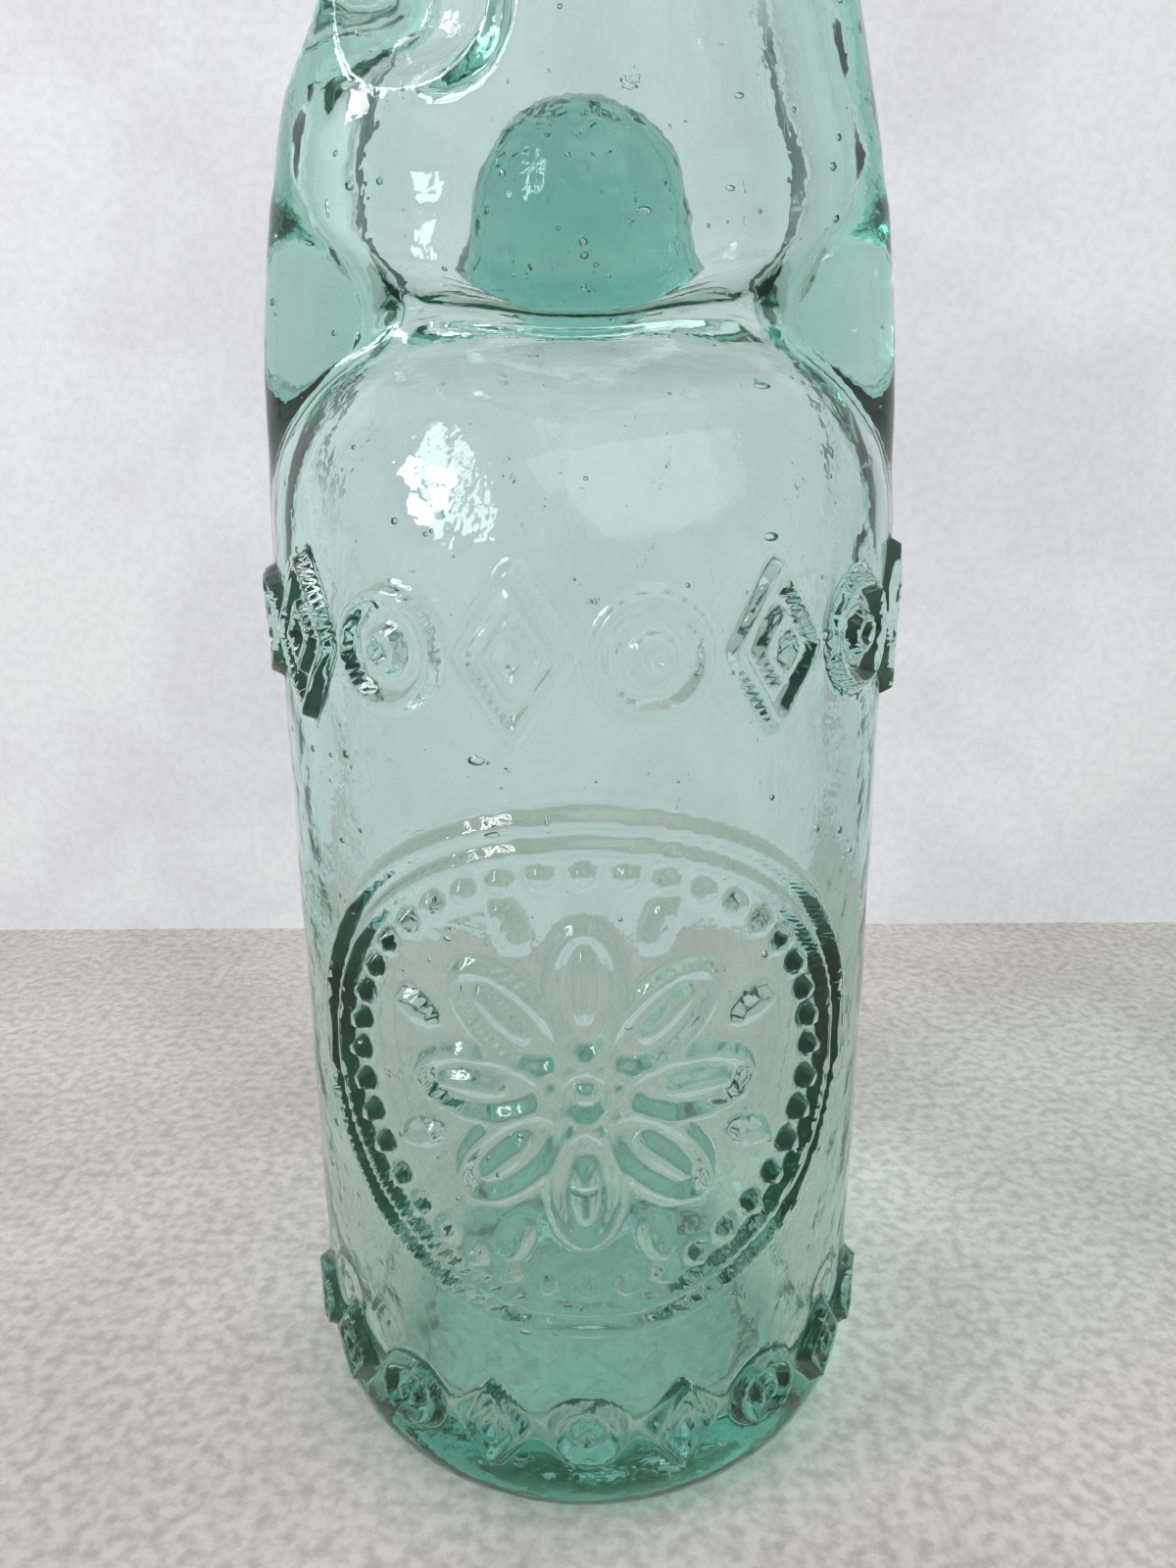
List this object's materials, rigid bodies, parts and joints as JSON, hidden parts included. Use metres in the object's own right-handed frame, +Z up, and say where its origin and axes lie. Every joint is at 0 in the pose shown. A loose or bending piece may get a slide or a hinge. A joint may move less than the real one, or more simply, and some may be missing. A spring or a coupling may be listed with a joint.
{
  "type": "marble stopper bottle",
  "caption": "Small glass soda bottle with a pinched neck, a loose glass marble as its stopper and a rubber sealing ring under the mouth.",
  "frame": {"origin": "middle of the ring that the bottle stands on", "axes": "+Z up along the bottle, -Y the front of the picture and one of the two pinched sides, +X to the right of the picture"},
  "size_m": [0.057, 0.057, 0.188],
  "materials": {
    "bottle_glass": "aqua glass, smooth with seeds and small scratches",
    "glass_marble": "aqua glass with seeds, darker because it is solid",
    "sealing_ring": "matt dark rubber"
  },
  "bodies": {
    "bottle": {"bottle_glass": "bottle_glass", "sealing_ring": "sealing_ring"},
    "marble": {"glass_marble": "glass_marble"}
  },
  "joints": [
    {"name": "marble_slide", "type": "slide", "parent": "bottle", "child": "marble", "axis": [0, 0, 1], "range_m": [0, 0.0546]}
  ]
}
